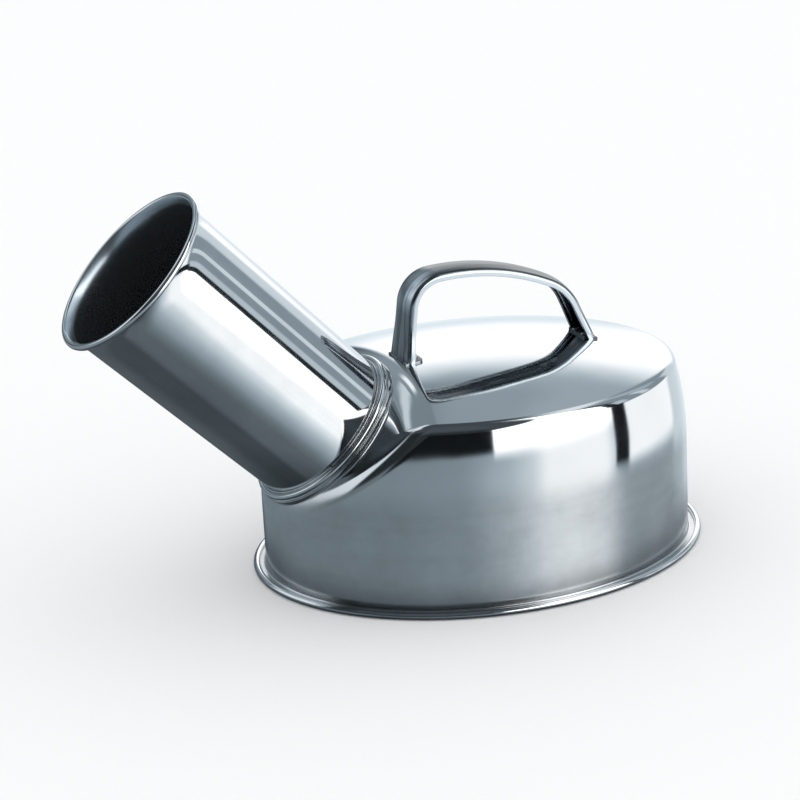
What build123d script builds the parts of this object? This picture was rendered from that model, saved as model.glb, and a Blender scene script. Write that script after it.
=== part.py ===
from build123d import *
import os
from math import asin, cos, pi, radians, sin, sqrt

# Stainless urine bottle: an oval, flat-based vessel with a crowned top, an
# oblique facet at one end that carries an inclined neck tube, and a strap
# handle over the top.  Millimetres.  Z is up, the base rests on z = 0, the
# origin is the middle of the base, and the neck leans out toward -X, which
# is the front.

os.makedirs("parts", exist_ok=True)

# ------------------------------------------------------------------ dimensions
# body shell
shell_t = 0.7            # sheet thickness
wall_a = 76.8            # outer half length of the upright oval wall (X)
wall_b = 63.0            # outer half width of the upright oval wall (Y)
shoulder_z = 36.4        # height where the wall starts to roll over
crown_frac = 0.912       # crown edge, as a fraction of the wall's half axes
crown_edge_z = 65.6
crown_z = 73.7           # top of the crown
slack_turn = 15.0        # share of the shoulder's turn in its slack arc, degrees
facet_tilt = 46.0        # elevation of the facet normal and of the neck axis
facet_drop = 0.9         # facet plane below the neck's datum
facet_round = 4.5        # roll where the facet meets wall and crown
facet_round_in = facet_round - 0.6
flange_out = 3.2         # bottom flange, measured out from the wall
flange_root = 0.7        # fillet between flange and wall
neck_hole_gap = 0.06     # hole in the facet round the neck, radial
# base plate
base_t = 0.6
flange_gap = 0.02        # shell's flange above the plate's
curl_r = 1.2             # outer radius of the rolled edge
curl_out = flange_out    # centre of the roll, out from the wall
lip_gap = 0.01           # rolled edge above the shell's flange
recess_z = 2.6           # underside of the floor above the resting plane
countersink_gap = 0.03   # between the shell and the wall inside it
floor_round = 0.9        # upper edge of the floor
recess_round = 0.5       # corner under the floor
foot_round = 0.5         # inner edge of the resting flange
# weld between floor and shell
base_bead = 1.1          # leg of the bead
base_bead_sunk = 0.55    # how far it runs below the floor's top
base_bead_toe = 0.12     # thickness of its upper edge on the shell
# neck
neck_t = 0.6
neck_x, neck_z = -55.7, 52.55      # datum point on the neck axis
neck_len = 91.4          # datum to the plane of the mouth's widest circle
neck_r0 = 27.3           # outer radius at the datum
neck_r1 = 28.82          # outer radius where the mouth flare starts
flare_start = 84.0       # datum to the start of the flare
neck_inside = 4.2        # length of tube inside the vessel
mouth_r = 31.8           # outer radius over the curled mouth
mouth_curl = 1.15        # outer radius of the curl
curl_start, curl_stop = 25, 304    # ends of the curl, degrees
cone_pull, curl_pull = 3.2, 2.4    # lengths of the flare curve's end tangents
ring_r = 30.1            # outer radius of the root ring
ring_gap = 0.1           # ring's bore outside the neck's datum radius
ring_depth = 4           # ring blank below the datum, before trimming
joint_angle = -107       # ring's butt joint; 0 is upslope, 90 is +Y
seam_angle = 150         # neck's long seam
seam_arc = 4.2           # width of the seam, degrees
seam_rise = 0.16
weld_gap = 0.005         # between the neck's datum cone and its welds
# handle
strap_t = 0.8
strap_deep = 3.3
strap_half_front = 8.5   # half width at the front foot
strap_half_rear = 8.0
strap_half_top = 6.85
back_rise = 0.56         # how far the back rises over its edges
edge_roll = 1.6          # radius where the back rolls into the side flanges
lip_w = 1.3
lip_t = 0.6
front_knee, front_bend = (-23.4, 101.7), 13.0     # (x, z) and bend radius
rear_knee, rear_bend = (37.2, 90.4), 21.0
front_foot_at, rear_foot_at = (-28.8, 62.0), (50.9, 58.0)
bow_mid = (8.0, 101.9)
leg_steps = 8
tongue_t = 0.8
weld_spots = [(-22.4, -3.6), (-22.4, 3.6), (42.1, -3.4), (42.1, 3.4)]
weld_r = 1.3
weld_sunk = 1.0          # foot of the plug below the crown, before trimming
weld_proud = 0.45
weld_round = 0.4

# ------------------------------------------------------------------ frames
tilt_cos, tilt_sin = cos(radians(facet_tilt)), sin(radians(facet_tilt))
axis_dir = Vector(-tilt_cos, 0, tilt_sin)           # out along the neck
upslope = Vector(tilt_sin, 0, tilt_cos)
datum = Vector(neck_x, 0, neck_z)
neck_axis = Axis(datum, axis_dir)
# half plane through the neck axis: local x = radius, local y = along the axis
neck_section = Plane(origin=datum, x_dir=upslope, z_dir=(0, -1, 0))
facet_plane = Plane(origin=datum - axis_dir * facet_drop, x_dir=upslope, z_dir=axis_dir)


# ------------------------------------------------------------------ helpers
def save(part, name):
    part.label = name
    export_step(part, f"parts/{name}.step")


def oval(offset, mode=Mode.ADD):
    """Ellipse whose half axes are the wall's plus an offset."""
    Ellipse(wall_a + offset, wall_b + offset, mode=mode)


def edges_at(builder, height):
    return builder.edges().filter_by_position(Axis.Z, height - 0.01, height + 0.01)


def around_neck(angle):
    """Direction square to the neck axis; 0 is upslope, 90 is +Y."""
    return upslope * cos(radians(angle)) + Vector(0, 1, 0) * sin(radians(angle))


def sphere_radius(edge_r, rise):
    """Radius of the spherical cap of a given edge radius and rise."""
    return (edge_r ** 2 + rise ** 2) / (2 * rise)


def arc_point(centre, radius, angle):
    return (centre[0] + radius * cos(angle), centre[1] + radius * sin(angle))


def vessel_form(half_x, half_y, frac, edge_z, top_z, bottom_z, cut, radius):
    """Closed oval form: upright wall, rolled shoulder, crowned top, facet.

    It is turned round first, with the crown a sphere and the shoulder two
    tangent arcs (a slack one, then a tight one), and squeezed to the oval.
    """
    edge_r = frac * half_x
    sphere_r = sphere_radius(edge_r, top_z - edge_z)
    lean = asin(edge_r / sphere_r)
    turn, full = radians(slack_turn), pi / 2 - lean
    # the two radii solve a pair of equations for the shoulder's width and height
    width, height = half_x - edge_r, edge_z - shoulder_z
    slack_in, tight_in = 1 - cos(turn), cos(turn) - cos(full)
    slack_up, tight_up = sin(turn), sin(full) - sin(turn)
    det = slack_in * tight_up - tight_in * slack_up
    slack_r = (width * tight_up - tight_in * height) / det
    tight_r = (slack_in * height - slack_up * width) / det
    slack_centre = (half_x - slack_r, shoulder_z)
    slack_mid = arc_point(slack_centre, slack_r, turn / 2)
    joint = arc_point(slack_centre, slack_r, turn)
    tight_centre = arc_point(joint, -tight_r, turn)
    tight_mid = arc_point(tight_centre, tight_r, (turn + full) / 2)
    crown_mid = (sphere_r * sin(lean / 2), top_z - sphere_r + sphere_r * cos(lean / 2))
    with BuildPart() as turned:
        with BuildSketch(Plane.XZ):
            with BuildLine():
                Line((0, bottom_z), (half_x, bottom_z))
                Line((half_x, bottom_z), (half_x, shoulder_z))
                ThreePointArc((half_x, shoulder_z), slack_mid, joint)
                ThreePointArc(joint, tight_mid, (edge_r, edge_z))
                ThreePointArc((edge_r, edge_z), crown_mid, (0, top_z))
                Line((0, top_z), (0, bottom_z))
            make_face()
        revolve(axis=Axis.Z)
        split(bisect_by=cut, keep=Keep.BOTTOM)
        facet = turned.faces().filter_by(
            lambda f: f.geom_type == GeomType.PLANE
            and f.normal_at().dot(cut.z_dir) > 0.999)[0]
        fillet(facet.edges(), radius)
    return scale(turned.part, by=(1, half_y / half_x, 1))


# ------------------------------------------------------------------ vessel forms
# the crown edge moves inward and down by one sheet thickness on the inside
crown_edge_r = crown_frac * wall_a
crown_r = sphere_radius(crown_edge_r, crown_z - crown_edge_z)
edge_slope = 2 * (crown_z - crown_edge_z) / crown_edge_r
slope_len = sqrt(1 + edge_slope ** 2)
inner_frac = (crown_edge_r - shell_t * edge_slope / slope_len) / (wall_a - shell_t)
inner_edge_z = crown_edge_z - shell_t / slope_len

flange_bot = base_t + flange_gap
flange_top = flange_bot + shell_t
outer_form = vessel_form(wall_a, wall_b, crown_frac, crown_edge_z, crown_z,
                         flange_bot, facet_plane, facet_round)
inner_form = vessel_form(wall_a - shell_t, wall_b - shell_t, inner_frac, inner_edge_z,
                         crown_z - shell_t, flange_bot - 2,
                         facet_plane.offset(-shell_t), facet_round_in)

# ------------------------------------------------------------------ body shell
with BuildPart() as body_shell:
    add(outer_form)
    with BuildSketch(Plane.XY.offset(flange_bot)):
        oval(flange_out)
    extrude(amount=shell_t)
    # the shortest edge at this height is the one at the wall
    fillet(edges_at(body_shell, flange_top).sort_by(lambda e: e.length)[0], flange_root)
    add(inner_form, mode=Mode.SUBTRACT)
    with BuildSketch(facet_plane.offset(-6)):
        Circle(neck_r0 + neck_hole_gap)
    extrude(amount=10, mode=Mode.SUBTRACT)

save(body_shell.part, "body_shell")

# ------------------------------------------------------------------ base plate
countersink_out = -(shell_t + countersink_gap)      # offsets from the wall
countersink_in = countersink_out - base_t
floor_top = recess_z + base_t
lip_z = flange_top + lip_gap
lip_up = lip_z - curl_r                 # lip's edge above the roll's centre
curl_x = wall_a + curl_out
curl_in_r = curl_r - base_t
lip_outer = (curl_x - sqrt(curl_r ** 2 - lip_up ** 2), lip_z)
lip_inner = (curl_x - sqrt(curl_in_r ** 2 - lip_up ** 2), lip_z)

with BuildPart() as base_plate:
    # floor and the countersink wall that stands inside the shell
    with BuildSketch():
        oval(countersink_out)
    extrude(amount=floor_top)
    with BuildSketch():
        oval(countersink_in)
    extrude(amount=recess_z, mode=Mode.SUBTRACT)
    fillet(edges_at(base_plate, floor_top), floor_round)
    fillet(edges_at(base_plate, recess_z), recess_round)
    # resting flange under the shell's flange
    with BuildSketch():
        oval(curl_out)
        oval(countersink_in, mode=Mode.SUBTRACT)
    extrude(amount=base_t)
    fillet(edges_at(base_plate, 0).sort_by(lambda e: e.length)[0], foot_round)
    # rolled edge, wrapped over the shell's flange and closed down on it
    with BuildLine(Plane.XY.offset(curl_r)) as curl_path:
        EllipticalCenterArc((0, 0), curl_x, wall_b + curl_out, start_angle=0, arc_size=360)
    with BuildSketch(Plane.XZ):
        with BuildLine():
            Line((curl_x, base_t), (curl_x, 0))
            RadiusArc((curl_x, 0), (curl_x + curl_r, curl_r), -curl_r)
            RadiusArc((curl_x + curl_r, curl_r), (curl_x, 2 * curl_r), -curl_r)
            RadiusArc((curl_x, 2 * curl_r), lip_outer, -curl_r)
            Line(lip_outer, lip_inner)
            RadiusArc(lip_inner, (curl_x, curl_r + curl_in_r), curl_in_r)
            RadiusArc((curl_x, curl_r + curl_in_r), (curl_x + curl_in_r, curl_r), curl_in_r)
            RadiusArc((curl_x + curl_in_r, curl_r), (curl_x, base_t), curl_in_r)
        make_face()
    sweep(path=curl_path.wires()[0], is_frenet=True)

save(base_plate.part, "base_plate")

# ------------------------------------------------------------------ base seam weld
# bead closing the corner between the floor's edge and the shell, inside
with BuildPart() as base_seam_weld:
    with BuildSketch(Plane.XY.offset(floor_top - base_bead_sunk)):
        oval(-shell_t)
    extrude(amount=base_bead_sunk + base_bead)
    with BuildSketch(Plane.XY.offset(floor_top)):
        oval(-shell_t - base_bead)
    with BuildSketch(Plane.XY.offset(floor_top + base_bead)):
        oval(-shell_t - base_bead_toe)
    loft(mode=Mode.SUBTRACT)
    with BuildSketch(Plane.XY.offset(floor_top - 0.6)):
        oval(-shell_t - base_bead)
    extrude(amount=0.7, mode=Mode.SUBTRACT)
    add(base_plate.part, mode=Mode.SUBTRACT)

save(base_seam_weld.part, "base_seam_weld")

# ------------------------------------------------------------------ neck tube
taper = (neck_r1 - neck_r0) / flare_start


def cone_point(along, inset=0.0):
    """(radius, along) on the tube's outer cone, or inset from it."""
    return (neck_r0 - inset + taper * along, along)


def curl_point(radius, angle):
    """Point on the mouth curl: 0 faces the axis, 90 faces out of the mouth."""
    angle = radians(angle)
    return (mouth_r - mouth_curl - radius * cos(angle), neck_len + radius * sin(angle))


def curl_arc(radius, first, middle, last):
    ThreePointArc(*(curl_point(radius, angle) for angle in (first, middle, last)))


def flare_curve(inset, radius):
    """Control points from the end of the cone to the start of the curl."""
    cone_end, curl_end = cone_point(flare_start, inset), curl_point(radius, curl_start)
    lean = radians(curl_start)
    return [cone_end,
            (cone_end[0] + taper * cone_pull, cone_end[1] + cone_pull),
            (curl_end[0] - curl_pull * sin(lean), curl_end[1] - curl_pull * cos(lean)),
            curl_end]


mouth_curl_in = mouth_curl - neck_t
bore_flare = flare_curve(neck_t, mouth_curl)
outer_flare = flare_curve(0.0, mouth_curl_in)
with BuildPart() as neck_tube:
    with BuildSketch(neck_section):
        with BuildLine():
            Line(cone_point(-neck_inside, neck_t), bore_flare[0])
            Bezier(*bore_flare)
            curl_arc(mouth_curl, curl_start, 90, 180)
            curl_arc(mouth_curl, 180, 240, curl_stop)
            Line(curl_point(mouth_curl, curl_stop), curl_point(mouth_curl_in, curl_stop))
            curl_arc(mouth_curl_in, curl_stop, 240, 180)
            curl_arc(mouth_curl_in, 180, 90, curl_start)
            Bezier(*reversed(outer_flare))
            Line(outer_flare[0], cone_point(-neck_inside))
            Line(cone_point(-neck_inside), cone_point(-neck_inside, neck_t))
        make_face()
    revolve(axis=neck_axis)

save(neck_tube.part, "neck_tube")

# ------------------------------------------------------------------ neck ring
# beaded ring dressed down to the facet, with a butt joint in its inner lip;
# section points are (radius, along the axis)
ring_bore = neck_r0 + ring_gap
bead_foot, bead_top, bead_in = (29.42, 0.05), (29.25, 2.02), (28.3, 1.95)
lip_out, lip_in = (28.05, 2.35), (27.55, 2.5)
with BuildPart() as ring_blank:
    with BuildSketch(neck_section):
        with BuildLine():
            Polyline((ring_bore, -ring_depth), (ring_r, -ring_depth), (ring_r, -0.4),
                     (ring_r - 0.15, -0.2), bead_foot)
            ThreePointArc(bead_foot, (29.96, 1.1), bead_top)
            ThreePointArc(bead_top, (28.75, 2.15), bead_in)
            Polyline(bead_in, (28.05, 1.7), lip_out)
            ThreePointArc(lip_out, (27.8, 2.55), lip_in)
            Polyline(lip_in, (ring_bore, 2.3), (ring_bore, -ring_depth))
        make_face()
    revolve(axis=neck_axis)

joint_out = around_neck(joint_angle)
joint_origin = datum + joint_out * 27.85 + axis_dir * 1.75
with BuildPart() as joint_slot:
    with BuildSketch(Plane(origin=joint_origin, x_dir=joint_out, z_dir=axis_dir)):
        Rectangle(1.1, 0.45)
    extrude(amount=2)

with BuildPart() as neck_ring:
    add(ring_blank.part)
    add(outer_form, mode=Mode.SUBTRACT)
    add(joint_slot.part, mode=Mode.SUBTRACT)

save(neck_ring.part, "neck_ring")

# ------------------------------------------------------------------ neck root weld
# bead round the neck's root, inside the vessel
# (out from the neck's datum radius, along the axis from the facet's inner face)
root_bead = [(weld_gap, 0.3), (1.3, 0.3), (1.3, -0.15),
             (0.9, -0.75), (0.35, -1.25), (weld_gap, -1.4), (weld_gap, 0.3)]
facet_inside = -facet_drop - shell_t
with BuildPart() as neck_root_weld:
    with BuildSketch(neck_section):
        with BuildLine():
            Polyline(*[(neck_r0 + out, facet_inside + along) for out, along in root_bead])
        make_face()
    revolve(axis=neck_axis)
    add(body_shell.part, mode=Mode.SUBTRACT)
    add(neck_tube.part, mode=Mode.SUBTRACT)

save(neck_root_weld.part, "neck_root_weld")

# ------------------------------------------------------------------ neck seam weld
# long seam that closes the rolled cone, on the +Y side of the tube's underside
seam_out = around_neck(seam_angle)
seam_plane = Plane(origin=datum, x_dir=seam_out, z_dir=seam_out.cross(axis_dir))
seam_low = cone_point(2.9, -weld_gap)
seam_high = cone_point(flare_start - 1, -weld_gap)
with BuildPart() as neck_seam_weld:
    with BuildSketch(seam_plane):
        with BuildLine():
            Polyline(seam_low, seam_high, (seam_high[0] + seam_rise, seam_high[1]),
                     (seam_low[0] + seam_rise, seam_low[1]), seam_low)
        make_face()
    revolve(axis=neck_axis, revolution_arc=seam_arc)

save(neck_seam_weld.part, "neck_seam_weld")

# ------------------------------------------------------------------ handle
# strap of shallow channel section with a crowned back and turned-in lips,
# bent to a loop in the XZ plane, each leg ending in a tongue on the crown
with BuildLine(Plane.XZ) as strap_line:
    Line(front_foot_at, front_knee)
    ThreePointArc(front_knee, bow_mid, rear_knee)
    Line(rear_knee, rear_foot_at)
    fillet(strap_line.vertices().sort_by(Axis.X)[1], front_bend)
    rear_corner = (rear_knee[0], 0, rear_knee[1])
    fillet(strap_line.vertices().sort_by_distance(rear_corner)[0], rear_bend)


def ease(share):
    share = min(max(share, 0.0), 1.0)
    return share * share * (3 - 2 * share)


def half_width(point):
    """Half width of the strap, easing from a foot's to the top's."""
    if point.X < 5:
        foot_half, ease_z, ease_height = strap_half_front, 71, 17
    else:
        foot_half, ease_z, ease_height = strap_half_rear, 68, 15
    widening = 1 - ease((point.Z - ease_z) / ease_height)
    return strap_half_top + (foot_half - strap_half_top) * widening


def strap_points(half, inset):
    """Top, tangent, mid roll and side points of one half of the strap's back.

    x runs across the strap and y outward; inset is the depth below its skin.
    """
    back_r = edge_roll + (half - edge_roll) ** 2 / (2 * back_rise)
    reach = back_r - edge_roll
    roll_y = -back_r + sqrt(reach ** 2 - (half - edge_roll) ** 2)
    tan_x, tan_y = (half - edge_roll) / reach, (roll_y + back_r) / reach
    norm = sqrt((tan_x + 1) ** 2 + tan_y ** 2)
    mid_x, mid_y = (tan_x + 1) / norm, tan_y / norm    # to the middle of the roll
    skin_r, roll_r = back_r - inset, edge_roll - inset
    return ((0.0, -back_r + skin_r),
            (skin_r * tan_x, -back_r + skin_r * tan_y),
            (half - edge_roll + roll_r * mid_x, roll_y + roll_r * mid_y),
            (half - inset, roll_y))


def mirrored(point):
    return (-point[0], point[1])


def strap_outline(half):
    """Closed outline of one strap section."""
    top, tangent, mid, side = strap_points(half, 0.0)
    in_top, in_tangent, in_mid, in_side = strap_points(half, strap_t)
    lip_x, low, lip_top = half - lip_w, -strap_deep, -strap_deep + lip_t
    flange = [side, (half, low), (lip_x, low), (lip_x, lip_top),
              (half - strap_t, lip_top), in_side]
    ThreePointArc(mirrored(tangent), top, tangent)
    ThreePointArc(tangent, mid, side)
    Polyline(*flange)
    ThreePointArc(in_side, in_mid, in_tangent)
    ThreePointArc(in_tangent, in_top, mirrored(in_tangent))
    ThreePointArc(mirrored(in_tangent), mirrored(in_mid), mirrored(in_side))
    Polyline(*[mirrored(point) for point in reversed(flange)])
    ThreePointArc(mirrored(side), mirrored(mid), mirrored(tangent))


def strap_leg(foot, head, direction):
    """Straight leg lofted from foot to head; direction runs front to rear."""
    with BuildPart() as leg:
        for i in range(leg_steps + 1):
            point = foot + (head - foot) * (i / leg_steps)
            with BuildSketch(Plane(origin=point, x_dir=(0, 1, 0), z_dir=direction)):
                with BuildLine():
                    strap_outline(half_width(point))
                make_face()
        loft()
    return leg.part


def foot_and_head(run):
    return sorted((run.start_point(), run.end_point()), key=lambda v: v.Z)


runs = strap_line.edges().sort_by(Axis.X)
front_foot, front_head = foot_and_head(runs[0])
rear_foot, rear_head = foot_and_head(runs[-1])
front_dir = (front_head - front_foot).normalized()
rear_dir = (rear_foot - rear_head).normalized()
front_leg = strap_leg(front_foot, front_head, front_dir)
rear_leg = strap_leg(rear_foot, rear_head, rear_dir)

with BuildPart() as strap_bow:
    with BuildLine() as bow_line:
        for run in runs[1:-1]:
            add(run)
    with BuildSketch(Plane(origin=front_head, x_dir=(0, 1, 0), z_dir=front_dir)):
        with BuildLine():
            strap_outline(half_width(front_head))
        make_face()
    sweep(path=bow_line.wires()[0])

# tongues under the feet, following the crown; each is held by two plug welds
# centre x, length, width, corner radius, centre x of the block at its leg end
tongue_table = [(-24.2, 7.4, 16.0, 2.2, -25.9),
                (43.1, 5.0, 15.2, 2.0, 43.9)]
leg_block = 3.0          # length of that block
with BuildPart() as tongues:
    with BuildSketch(Plane.XY.offset(60)):
        for tongue_x, length, width, corner, block_x in tongue_table:
            with Locations((tongue_x, 0)):
                RectangleRounded(length, width, corner)
            with Locations((block_x, 0)):
                Rectangle(leg_block, width)
    extrude(amount=20)
    add(outer_form.moved(Location((0, 0, tongue_t))), mode=Mode.INTERSECT)

with BuildPart() as handle:
    add(front_leg)
    add(strap_bow.part)
    add(rear_leg)
    add(tongues.part)
    add(outer_form, mode=Mode.SUBTRACT)
    with BuildSketch(Plane.XY.offset(60)):
        with Locations(weld_spots):
            Circle(weld_r)
    extrude(amount=16, mode=Mode.SUBTRACT)

save(handle.part, "handle")


# ------------------------------------------------------------------ handle foot welds
def crown_height(x, y):
    """Height of the crown's outer surface."""
    return crown_z - crown_r + sqrt(crown_r ** 2 - (x * x + (y * wall_a / wall_b) ** 2))


with BuildPart() as handle_foot_welds:
    for x, y in weld_spots:
        with BuildSketch(Plane.XY.offset(crown_height(x, y) - weld_sunk)):
            with Locations((x, y)):
                Circle(weld_r)
        extrude(amount=weld_sunk + tongue_t + weld_proud)
    # the two highest levels are the plug tops, one level for each foot
    levels = handle_foot_welds.faces().filter_by(Plane.XY).group_by(Axis.Z)
    fillet(levels[-1].edges() + levels[-2].edges(), weld_round)
    add(outer_form, mode=Mode.SUBTRACT)

save(handle_foot_welds.part, "handle_foot_welds")
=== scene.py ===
"""Sheet-steel vessel: an oval body on a curled base plate, a slanting neck and a strap handle.

The body is centred on the Z axis and stands on z = 0, its long axis along X. The front is -X,
where the neck leans out and up from a flat facet. The handle bows over the crown, front to
rear. All is symmetric about y = 0, bar a notch in the neck ring. Shapes are in millimetres
until make_object turns them to metres.
"""
import math

import bmesh
import bpy
import numpy as np
from mathutils import Matrix, Vector


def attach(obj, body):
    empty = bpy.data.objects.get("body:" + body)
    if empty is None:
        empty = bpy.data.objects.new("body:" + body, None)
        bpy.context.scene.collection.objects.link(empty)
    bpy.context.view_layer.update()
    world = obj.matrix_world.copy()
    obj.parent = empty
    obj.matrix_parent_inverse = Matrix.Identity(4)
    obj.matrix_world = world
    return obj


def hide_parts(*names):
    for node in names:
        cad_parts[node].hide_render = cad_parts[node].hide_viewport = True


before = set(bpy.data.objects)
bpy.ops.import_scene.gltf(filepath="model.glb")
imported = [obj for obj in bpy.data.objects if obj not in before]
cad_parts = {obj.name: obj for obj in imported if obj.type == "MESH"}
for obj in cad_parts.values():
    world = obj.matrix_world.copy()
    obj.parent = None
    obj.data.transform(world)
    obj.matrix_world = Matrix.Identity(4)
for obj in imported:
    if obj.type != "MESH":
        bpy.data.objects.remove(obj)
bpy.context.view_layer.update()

MM = 0.001

# ---------------------------------------------------------------- dimensions, mm
SHELL_T, BASE_T, NECK_T, STRAP_T = 0.7, 0.6, 0.6, 0.8       # sheet thicknesses

HALF_X, HALF_Y = 76.8, 63.0      # outside of the body's wall
Z_SHOULDER = 36.4                # the wall is upright below this
CROWN_EDGE_R = 0.912 * HALF_X    # where the shallow crown starts, measured along X
Z_CROWN_EDGE, Z_CROWN = 65.6, 73.7
SLACK_TURN = math.radians(15.0)  # how far the larger shoulder arc turns

FLANGE_OUT = 3.2                 # shell flange beyond the wall
FLANGE_BOTTOM = BASE_T + 0.02
FLANGE_TOP = FLANGE_BOTTOM + SHELL_T
CURL_R, CURL_OUT = 1.2, 3.2      # base curl: outer radius, centre beyond the wall
RECESS = 2.6                     # underside of the raised base floor

TILT = math.radians(46.0)
NECK_AXIS = np.array([-math.cos(TILT), 0.0, math.sin(TILT)])
FACET_UP = np.array([math.sin(TILT), 0.0, math.cos(TILT)])
FACET_SIDE = np.array([0.0, 1.0, 0.0])
DATUM = np.array([-55.7, 0.0, 52.55])        # heights along the neck start here
FACET_DROP = 0.9                             # the facet lies this far below the datum
FACET_ROLL, FACET_ROLL_INNER = 4.5, 3.9      # radii of its rolled edge, outside and inside

NECK_R = 27.3                                # outer radius at the datum
FLARE_R, FLARE_START = 28.82, 84.0           # outer radius and height where the flare starts
NECK_LENGTH, NECK_INSIDE = 91.4, 4.2         # above and below the datum
MOUTH_R, MOUTH_CURL_R = 31.8, 1.15
RING_R = 30.1

HANDLE_HALF = 6.85                           # half width of the bow
# half width at the foot, height where the taper starts, height it takes
FRONT_TAPER = (8.5, 71, 17)
REAR_TAPER = (8.0, 68, 15)


# ---------------------------------------------------------------- mesh helpers
def make_object(name, verts, faces, replaced):
    mesh = bpy.data.meshes.new(name)
    mesh.from_pydata((np.asarray(verts, float) * MM).tolist(), [], faces)
    mesh.validate()
    mesh.shade_smooth()
    ob = bpy.data.objects.new(name, mesh)
    bpy.context.scene.collection.objects.link(ob)
    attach(ob, "root")
    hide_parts(replaced)
    return ob


def fix_normals(ob):
    bm = bmesh.new()
    bm.from_mesh(ob.data)
    bmesh.ops.recalc_face_normals(bm, faces=bm.faces)
    bm.to_mesh(ob.data)
    bm.free()
    ob.data.shade_smooth()


def sharpen(ob, degrees):
    """Marks edges sharper than this as sharp, so flat cut edges stay crisp."""
    bm = bmesh.new()
    bm.from_mesh(ob.data)
    limit = math.radians(degrees)
    for edge in bm.edges:
        if len(edge.link_faces) == 2 and edge.calc_face_angle(0) > limit:
            edge.smooth = False
    bm.to_mesh(ob.data)
    bm.free()


def circle_angles(count):
    return np.linspace(0, 2 * math.pi, count, endpoint=False)


def arc(centre, radius, start, end, steps):
    """Points of an arc; angles in degrees."""
    t = np.radians(np.linspace(start, end, steps + 1))
    return np.stack([centre[0] + radius * np.cos(t), centre[1] + radius * np.sin(t)], 1)


def bezier(p0, p1, p2, p3, steps):
    t = np.linspace(0, 1, steps + 1)[:, None]
    p0, p1, p2, p3 = map(np.array, (p0, p1, p2, p3))
    return ((1 - t) ** 3 * p0 + 3 * (1 - t) ** 2 * t * p1
            + 3 * (1 - t) * t ** 2 * p2 + t ** 3 * p3)


def line(start, end, steps):
    t = np.linspace(0, 1, steps + 1)[:, None]
    return np.array(start) * (1 - t) + np.array(end) * t


def join(*runs):
    """Chains runs of points, dropping a start that repeats the last end."""
    out = [runs[0]]
    for run in runs[1:]:
        if np.linalg.norm(run[0] - out[-1][-1]) < 1e-6:
            run = run[1:]
        out.append(run)
    return np.vstack(out)


def grid_faces(rings, count, close_rings=True):
    """Quads between closed rings of points, stored ring by ring."""
    faces = []
    for i in range(rings if close_rings else rings - 1):
        i2 = (i + 1) % rings
        for k in range(count):
            k2 = (k + 1) % count
            faces.append((i * count + k, i2 * count + k, i2 * count + k2, i * count + k2))
    return faces


def band(first, second, count):
    """Quads between two closed rings that start at these indices."""
    pairs = [(j, (j + 1) % count) for j in range(count)]
    return [(first + j, first + j2, second + j2, second + j) for j, j2 in pairs]


def fan(ring, pole, count):
    return [(ring + j, ring + (j + 1) % count, pole) for j in range(count)]


def flipped(faces):
    return [face[::-1] for face in faces]


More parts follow.
